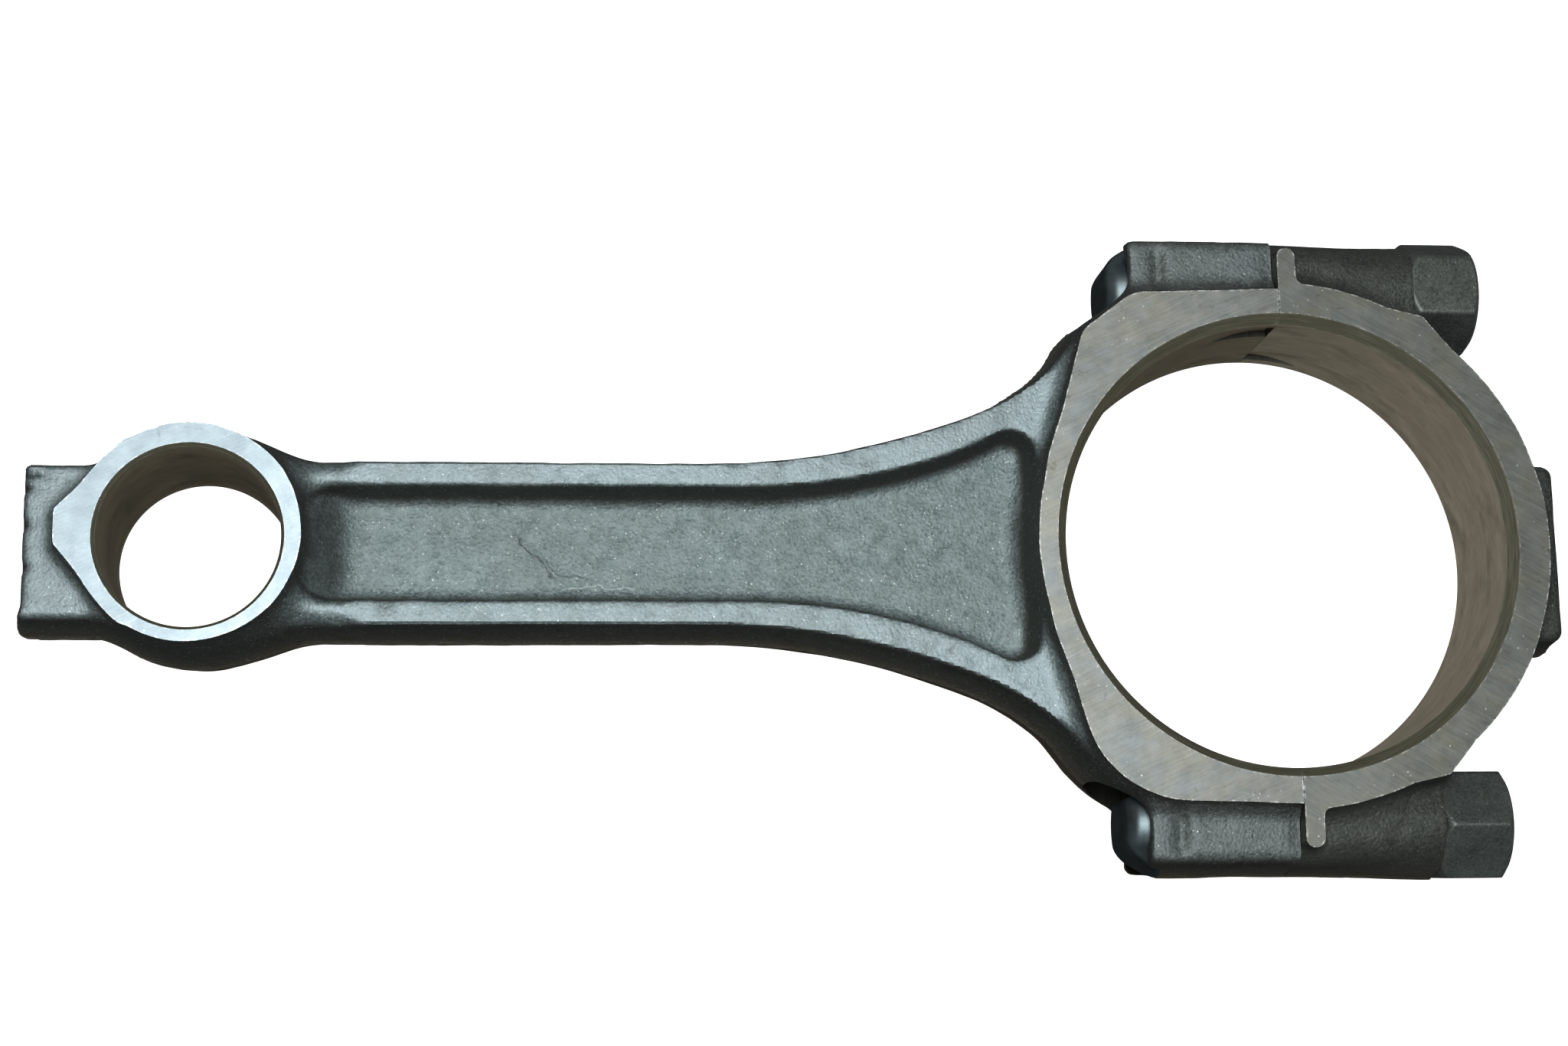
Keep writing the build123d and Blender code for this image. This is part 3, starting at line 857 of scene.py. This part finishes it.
def ground_finish(name, dark, light, degrees, shine):
    """Ground side face: fine one-way marks, a few long scratches, bright edges that are partly wear and
    partly a painted highlight of the rounded edge.
    """
    f = Finish(name)
    fine = f.noise(1.0, 4, 0.7, f.turned(degrees, (4.0, 0.22, 1.0)))
    coarse = f.noise(1.0, 2, 0.5, f.turned(degrees + 4, (12.0, 0.4, 1.0)))
    cross = f.noise(1.0, 2, 0.5, f.turned(degrees - 38, (14.0, 0.22, 1.0)))
    grain = f.noise(0.35, 2, 0.6)
    broad = f.noise(12, 3, 0.6)
    blot = f.noise(2.4, 4, 0.65)
    tone = f.math("ADD", f.span(fine, 0.32, 0.68, 0, 0.45), f.span(broad, 0.35, 0.65, 0, 0.3))
    tone = f.math("ADD", tone, f.span(blot, 0.36, 0.64, 0, 0.25))
    color = f.blend(tone, dark, light)
    tint = f.blend(f.span(f.noise(5, 4, 0.7), 0.3, 0.7), rgb(0.92, 1.0, 1.1), rgb(1.06, 1.0, 0.88))
    color = f.blend(0.8, color, tint, "MULTIPLY")
    high = f.span(f.math("ABSOLUTE", f.part(f.place, "Z")), big_face_z + 0.3, big_face_z + 0.6)
    pale = f.blend(tone, rgb(0.17, 0.215, 0.24), rgb(0.36, 0.44, 0.48))
    color = f.blend(high, color, pale)
    scratch = f.span(coarse, 0.66, 0.74)
    color = f.blend(f.math("MULTIPLY", scratch, 0.1), color, rgb(0.75, 0.77, 0.74))
    spots = f.span(f.noise(2.2, 3, 0.7), 0.64, 0.74)
    color = f.blend(f.math("MULTIPLY", spots, 0.35), color, rgb(0.05, 0.05, 0.04))
    fleck = f.math("MULTIPLY", f.span(f.cells(1.1), 0.14, 0.05), f.span(f.noise(4, 2), 0.52, 0.62))
    # bright edges: partly wear, partly a painted highlight where the rounded edge would catch the light
    worn = f.math("MULTIPLY", f.edges(0.45), f.span(f.noise(0.9, 3, 0.7), 0.48, 0.6))
    bright = f.math("MAXIMUM", f.math("MULTIPLY", fleck, 0.5), worn)
    color = f.blend(bright, color, rgb(0.85, 0.88, 0.86))
    rough = f.math("ADD", f.span(fine, 0.3, 0.7, shine - 0.03, shine + 0.04), f.math("MULTIPLY", grain, 0.05))
    normal = f.bump(fine, 0.008, 0.5)
    normal = f.bump(cross, 0.006, 0.4, normal)
    normal = f.bump(grain, 0.015, 0.4, normal)
    return f.set(color=color, metallic=1.0, roughness=rough, normal=normal)


def bored_finish(name, dark, light):
    """Honed bore: faint rings round the axis, tan and brown oil stains."""
    f = Finish(name)
    rings = f.noise(1.0, 3, 0.6, f.turned(0, (6.0, 6.0, 0.12)))
    broad = f.noise(7, 4, 0.7, f.turned(0, (1.4, 1.4, 0.6)))
    blot = f.span(f.noise(8.0, 5, 0.7, f.turned(0, (1.2, 1.2, 0.7))), 0.5, 0.8)
    tone = f.math("ADD", f.span(rings, 0.3, 0.7, 0, 0.5), f.span(broad, 0.3, 0.7, 0, 0.5))
    color = f.blend(tone, dark, light)
    color = f.blend(f.math("MULTIPLY", blot, 0.6), color, rgb(0.08, 0.062, 0.042))
    rough = f.span(rings, 0.3, 0.7, 0.46, 0.58)
    normal = f.bump(rings, 0.012, 0.6)
    return f.set(color=color, metallic=0.55, roughness=rough, normal=normal)


def chamfer_finish(name, dark, light):
    """Turned chamfer, dark with old oil, bright on its edges: partly rubbed, partly a painted highlight of
    the rim.
    """
    f = Finish(name)
    rings = f.noise(1.0, 3, 0.6, f.turned(0, (5.0, 5.0, 0.1)))
    color = f.blend(f.span(rings, 0.3, 0.7), dark, light)
    # bright rim: partly rubbing, partly a painted highlight of the chamfer's edge
    worn = f.span(f.edges(0.4), 0.04, 0.22)
    worn = f.math("MULTIPLY", worn, f.span(f.noise(2.5, 3, 0.7), 0.4, 0.65, 0.1, 0.8))
    color = f.blend(worn, color, rgb(0.75, 0.75, 0.62))
    rough = f.span(rings, 0.3, 0.7, 0.38, 0.5)
    return f.set(color=color, metallic=0.9, roughness=rough, normal=f.bump(rings, 0.01, 0.5))


def milled_shade_finish(name, dark, light):
    """Milled seats, the joint faces and the notches' side walls: arcs left by the cutter, dull, with a
    near-black colour that paints the shade in these gaps and recesses.
    """
    f = Finish(name)
    marks = f.noise(1.0, 3, 0.6, f.turned(8, (0.2, 7.0, 7.0)))
    broad = f.noise(5, 3, 0.6)
    tone = f.math("ADD", f.span(marks, 0.3, 0.7, 0, 0.6), f.span(broad, 0.3, 0.7, 0, 0.4))
    color = f.blend(tone, dark, light)
    rough = f.span(marks, 0.3, 0.7, 0.4, 0.55)
    return f.set(color=color, metallic=0.9, roughness=rough, normal=f.bump(marks, 0.02, 0.6))


def bolt_finish():
    """Heat-blackened alloy steel, glossy, with a little brown on the edges."""
    f = Finish("bolt_black")
    broad = f.noise(3.2, 3, 0.6)
    grain = f.noise(0.3, 3, 0.6)
    color = f.blend(f.span(broad, 0.3, 0.7), rgb(0.05, 0.07, 0.078), rgb(0.105, 0.135, 0.145))
    brown = f.span(f.noise(4.5, 3, 0.7), 0.55, 0.7)
    color = f.blend(f.math("MULTIPLY", brown, 0.4), color, rgb(0.09, 0.06, 0.035))
    worn = f.math("MULTIPLY", f.edges(0.35), f.span(grain, 0.35, 0.6))
    color = f.blend(f.math("MULTIPLY", worn, 0.7), color, rgb(0.4, 0.42, 0.42))
    rough = f.span(broad, 0.3, 0.7, 0.38, 0.46)
    normal = f.bump(broad, 0.1, 0.4)
    normal = f.bump(grain, 0.015, 0.5, normal)
    return f.set(color=color, metallic=0.95, roughness=rough, normal=normal)


def nut_finish():
    """Phosphated nut: grey-green crystal grain, metal showing on its ridges."""
    f = Finish("nut_phosphate")
    grain = f.noise(0.35, 3, 0.65)
    broad = f.noise(3.5, 3, 0.6)
    tone = f.math("ADD", f.span(grain, 0.3, 0.7, 0, 0.6), f.span(broad, 0.3, 0.7, 0, 0.4))
    color = f.blend(tone, rgb(0.042, 0.052, 0.048), rgb(0.15, 0.17, 0.16))
    worn = f.math("MULTIPLY", f.edges(0.3), f.span(f.noise(1.2, 3, 0.7), 0.35, 0.55, 0.35, 1))
    color = f.blend(f.math("MULTIPLY", worn, 0.85), color, rgb(0.55, 0.57, 0.52))
    fleck = f.math("MULTIPLY", f.span(f.cells(0.9), 0.14, 0.06), 0.5)
    color = f.blend(fleck, color, rgb(0.4, 0.43, 0.42))
    normal = f.bump(grain, 0.05, 0.7)
    return f.set(color=color, metallic=0.85, roughness=f.span(grain, 0.3, 0.7, 0.42, 0.56), normal=normal)


lap_dark, lap_bright = rgb(0.02, 0.022, 0.02), rgb(0.45, 0.52, 0.54)
web_laps = [
    ((-90.9, 8.0), 13.2, 0.24, (-103.5, -97), lap_dark),
    ((-90.5, 10.5), 14.9, 0.22, (-99.5, -92.5), lap_dark),
    ((-92.3, -19.8), 15.0, 0.16, (-97, -86.5), lap_bright),
]
rod_pads = rgb(0.05, 0.058, 0.056), rgb(0.165, 0.19, 0.18)
cap_pads = rgb(0.03, 0.036, 0.033), rgb(0.085, 0.095, 0.088)
rod_finishes = [
    forged_finish("rod_forged", rgb(0.105, 0.15, 0.153), rgb(0.28, 0.345, 0.355), rgb(0.42, 0.515, 0.55),
                  rod_pads, rgb(0.62, 0.68, 0.66), 0.62, 5.0, web_laps),
    ground_finish("rod_ground", rgb(0.13, 0.142, 0.134), rgb(0.285, 0.3, 0.285), 24, 0.48),
    bored_finish("rod_bored", rgb(0.33, 0.29, 0.2), rgb(0.6, 0.55, 0.42)),
    chamfer_finish("rod_chamfer", rgb(0.13, 0.13, 0.095), rgb(0.28, 0.28, 0.21)),
    milled_shade_finish("rod_milled_shade", rgb(0.025, 0.025, 0.02), rgb(0.06, 0.06, 0.052)),
]
cap_finishes = [
    forged_finish("cap_forged", rgb(0.024, 0.03, 0.027), rgb(0.086, 0.097, 0.09), rgb(0.1, 0.11, 0.104),
                  cap_pads, rgb(0.26, 0.28, 0.26), 0.6, 7.0),
    ground_finish("cap_ground", rgb(0.105, 0.113, 0.103), rgb(0.225, 0.237, 0.217), -31, 0.5),
    bored_finish("cap_bored", rgb(0.46, 0.415, 0.3), rgb(0.87, 0.8, 0.63)),
    chamfer_finish("cap_chamfer", rgb(0.12, 0.12, 0.085), rgb(0.28, 0.28, 0.21)),
    milled_shade_finish("cap_milled_shade", rgb(0.03, 0.03, 0.025), rgb(0.08, 0.08, 0.07)),
]


# ---- Pieces ----
def forging(name, node, body, blank, box, step, marks, seed, finishes, machining):
    piece = forged_mesh(name, blank, box[0], box[1], step, marks, seed)
    for material in finishes:
        piece.data.materials.append(material)
    machining(piece)
    shade(piece)
    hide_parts(node)
    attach(piece, body)
    return piece


def fastener(piece, node, body, material, crease):
    piece.data.materials.append(material)
    shade(piece, crease)
    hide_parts(node)
    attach(piece, body)


step = 0.6
reach_y = box_half_height + step
reach_z = small_face_z + allowance + 3 * step
rod_box = ((rod_low[0] - 3 * step, -reach_y, -reach_z), (4 * step, reach_y, reach_z))
cap_box = ((-4 * step, -reach_y, -reach_z), (cap_high[0] + 3 * step, reach_y, reach_z))
# dents and gouges: centre, radii, depth
rod_marks = [
    ((-120, -8.2, 8.7), (1.0, 0.9, 2), 0.5),
    ((-165.4, 8.8, 8.8), (1.9, 0.55, 2), 0.65),
    ((-166.2, 6.9, 8.8), (1.6, 0.5, 2), 0.6),
    ((-166.4, 2.2, 8.8), (1.5, 0.6, 2), 0.6),
    ((-166.6, -3.4, 8.8), (1.5, 0.6, 2), 0.6),
    ((-167.4, -8.9, 8.2), (1.0, 1.0, 1.6), 0.7),
    ((-47, -14.5, 8.7), (2.2, 0.9, 2), 0.25),
    ((-58, 11.4, 8.7), (2.6, 0.8, 2), 0.2),
]
cap_marks = [((14, -38, 8), (1.4, 0.6, 2), 0.35), ((7, 37, 8.6), (1.2, 1.0, 2), 0.2)]
forging("rod_forging", "rod_body", "rod", rod_blank, rod_box, step, rod_marks, 3,
        rod_finishes, machine_rod)
forging("cap_forging", "rod_cap", "cap", cap_blank, cap_box, step, cap_marks, 8,
        cap_finishes, machine_cap)

bolt_black, nut_phosphate = bolt_finish(), nut_finish()
for place, side, corner in (("upper", 1, 27.9), ("lower", -1, 5.0)):
    bolt = bolt_piece(f"rod_bolt_{place}", side)
    fastener(bolt, f"bolt_{place}", "rod", bolt_black, 50)
    nut = nut_piece(f"rod_nut_{place}", side, corner)
    fastener(nut, f"nut_{place}", f"{place}_nut", nut_phosphate, 40)


# ---- Camera, light and floor ----
camera_turn = Vector([math.radians(a) for a in (-11.37, 5.69, 0.33)])
camera_rotation = Matrix.Rotation(camera_turn.length, 3, camera_turn.normalized())
camera_offset = Vector((-66.51, 4.68, 386.85))
camera = bpy.data.objects.new("camera", bpy.data.cameras.new("camera"))
camera.data.sensor_width = 36.0
camera.data.lens = 64.62
camera.data.clip_start = 0.01
camera.matrix_world = Matrix.Translation(camera_rotation.transposed() @ camera_offset * MM) @ (
    camera_rotation.transposed().to_4x4())
bpy.context.scene.collection.objects.link(camera)
bpy.context.scene.camera = camera


def area_light(name, location, target, size, power, color=(1, 1, 1)):
    light = bpy.data.lights.new(name, "AREA")
    light.size = size
    light.energy = power
    light.color = color
    lamp = bpy.data.objects.new(name, light)
    lamp.location = location
    lamp.rotation_euler = (Vector(target) - Vector(location)).to_track_quat("-Z", "Y").to_euler()
    bpy.context.scene.collection.objects.link(lamp)
    return lamp


area_light("key", (-0.120, -0.01, 0.60), (-0.07, 0, 0), 0.20, 3.6, (1.0, 0.99, 0.98))


floor_z = cad_low[2] - 0.0002
floor_reach = 3.0
dome_radius = 2.8


def pale_stage():
    """Pale floor that the back of the small end lies on. It gives the metal no bounced light."""
    mesh = bpy.data.meshes.new("floor")
    corners = [(x * floor_reach, y * floor_reach, floor_z) for x, y in ((-1, -1), (1, -1), (1, 1), (-1, 1))]
    mesh.from_pydata(corners, [], [(0, 1, 2, 3)])
    floor = bpy.data.objects.new("floor", mesh)
    bpy.context.scene.collection.objects.link(floor)
    f = Finish("floor_paper")
    tone = f.noise(3.0, 4, 0.6)
    color = f.blend(tone, rgb(0.5, 0.5, 0.495), rgb(0.52, 0.52, 0.515))
    f.put(f.shader, {"Emission Color": rgb(1.0, 1.0, 0.995), "Emission Strength": 1.3})
    mesh.materials.append(f.set(color=color, metallic=0.0, roughness=0.9))
    return floor


def pale_dome():
    """Plain pale studio wall for low viewpoints. It gives no light either."""
    mesh = bpy.data.meshes.new("backdrop")
    rows, columns = 12, 64
    points = []
    for row in range(rows + 1):
        rise = math.radians(84) * row / rows
        for column in range(columns):
            turn = 2 * math.pi * column / columns
            flat = dome_radius * math.cos(rise)
            height = floor_z + dome_radius * math.sin(rise)
            points.append((flat * math.cos(turn), flat * math.sin(turn), height))
    faces = [
        (row * columns + n, row * columns + (n + 1) % columns, (row + 1) * columns + (n + 1) % columns,
         (row + 1) * columns + n)
        for row in range(rows) for n in range(columns)
    ]
    mesh.from_pydata(points, [], faces)
    dome = bpy.data.objects.new("backdrop", mesh)
    bpy.context.scene.collection.objects.link(dome)
    mesh.materials.append(bpy.data.materials["floor_paper"])
    return dome


for prop in (pale_stage(), pale_dome()):
    prop.visible_glossy = False
    prop.visible_diffuse = False
    prop.visible_shadow = False

horizon_light, zenith_light = 0.35, 0.03


def studio_world():
    """Soft light from all round, less of it from -Y, and little from straight above, where the key stands."""
    world = bpy.data.worlds.new("studio")
    world.use_nodes = True
    tree = world.node_tree
    background = tree.nodes["Background"]
    background.inputs["Strength"].default_value = 1.0
    way = tree.nodes.new("ShaderNodeTexCoord")
    split = tree.nodes.new("ShaderNodeSeparateXYZ")
    least = tree.nodes.new("ShaderNodeMath")
    least.operation = "MINIMUM"
    tree.links.new(way.outputs["Generated"], split.inputs[0])

    def ramp(axis, start, end, first, last, kind):
        """From the first value at the start to the last at the end."""
        node = tree.nodes.new("ShaderNodeMapRange")
        node.interpolation_type = kind
        for name, value in zip(("From Min", "From Max", "To Min", "To Max"), (start, end, first, last)):
            node.inputs[name].default_value = value
        tree.links.new(split.outputs[axis], node.inputs["Value"])
        return node.outputs["Result"]

    for socket, (start, end) in zip(least.inputs, ((0.5, 0.9), (-0.15, -0.6))):
        tree.links.new(ramp("Z", start, end, horizon_light, zenith_light, "SMOOTHSTEP"), socket)
    product = tree.nodes.new("ShaderNodeMath")
    product.operation = "MULTIPLY"
    tree.links.new(least.outputs[0], product.inputs[0])
    tree.links.new(ramp("Y", -0.8, 0.4, 0.8, 1.0, "LINEAR"), product.inputs[1])
    tree.links.new(product.outputs[0], background.inputs["Color"])
    return world


bpy.context.scene.world = studio_world()
bpy.context.scene.view_settings.view_transform = "Standard"
